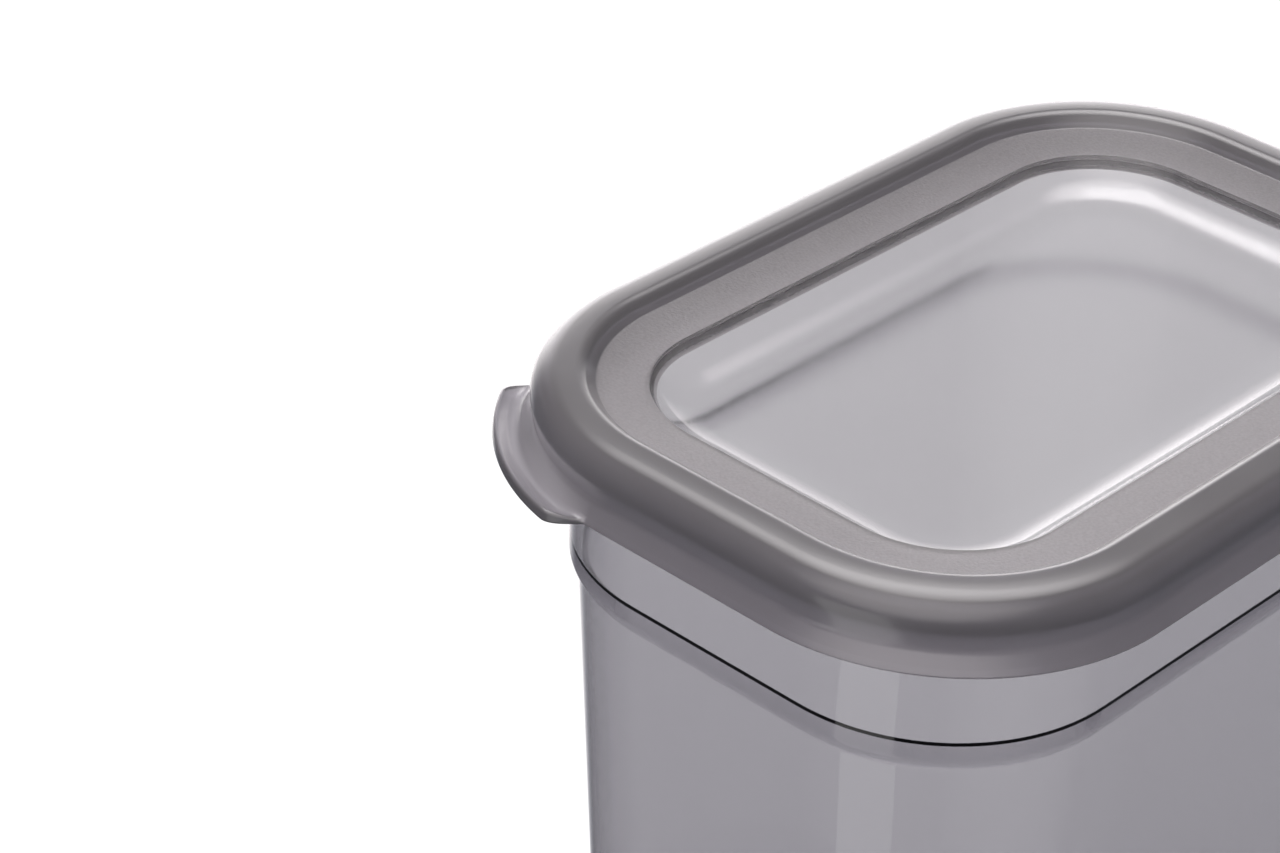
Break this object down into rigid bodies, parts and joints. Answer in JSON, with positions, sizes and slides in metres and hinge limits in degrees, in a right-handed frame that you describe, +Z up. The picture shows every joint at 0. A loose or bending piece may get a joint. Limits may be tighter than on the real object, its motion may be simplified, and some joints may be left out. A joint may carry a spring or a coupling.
{
  "type": "lidded storage canister",
  "caption": "Tall rectangular see-through canister, tapered below a stepped collar, with a soft press-on lid that has a clear sunken panel and a finger tab at one corner.",
  "frame": {"origin": "centre of the base, on the surface the canister stands on", "axes": "+Z up; X across the narrow way; Y along the long way, with -Y the front, so the finger tab is at the front left corner (-X, -Y)"},
  "size_m": [0.1054, 0.1534, 0.1621],
  "materials": {
    "body_plastic": "clear smoke-grey, polished",
    "lid_plastic": "translucent smoke-grey, satin, with a polished clear panel"
  },
  "bodies": {
    "canister": {"canister_body": "body_plastic"},
    "lid": {"lid": "lid_plastic"}
  },
  "joints": [
    {"name": "lid_lift", "type": "slide", "parent": "canister", "child": "lid", "axis": [0, 0, 1], "range_m": [0, 0.12]}
  ]
}
